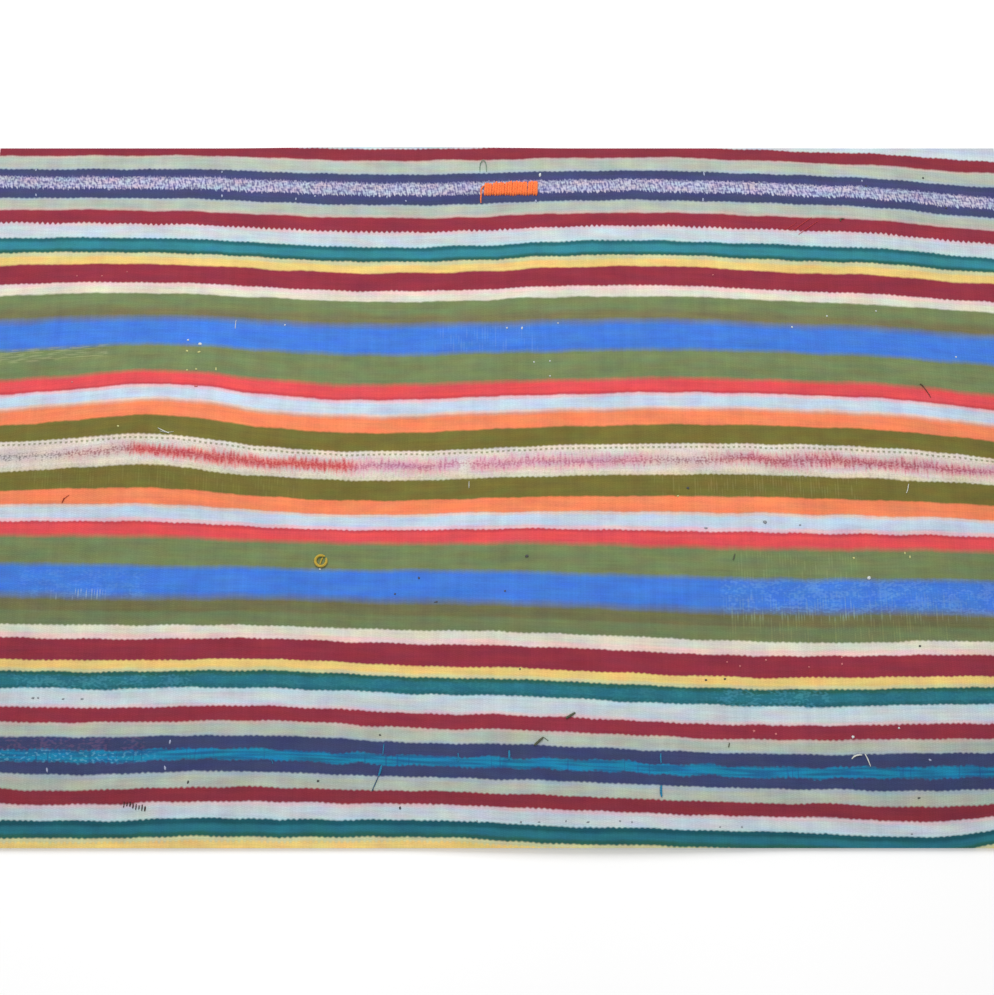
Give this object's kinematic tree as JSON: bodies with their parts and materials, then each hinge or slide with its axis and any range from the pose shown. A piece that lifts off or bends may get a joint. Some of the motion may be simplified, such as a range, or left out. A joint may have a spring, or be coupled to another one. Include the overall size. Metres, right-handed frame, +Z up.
{
  "type": "striped kilim length",
  "caption": "Cut length of flat-woven wool rug with plain cross stripes, lying flat with a few low soft swells; thin, even in thickness and cut square on all four sides.",
  "frame": {"origin": "on the floor, under the middle of the sheet's outline", "axes": "+X along the stripes (the wefts), +Y along the warps to the far edge, +Z up through the cloth"},
  "size_m": [1, 0.686, 0.0119],
  "materials": {
    "striped_wool": "matte weft-faced wool in many coloured stripes, ribbed across the stripes"
  },
  "bodies": {
    "root": {"kilim_cloth": "striped_wool"}
  },
  "joints": []
}
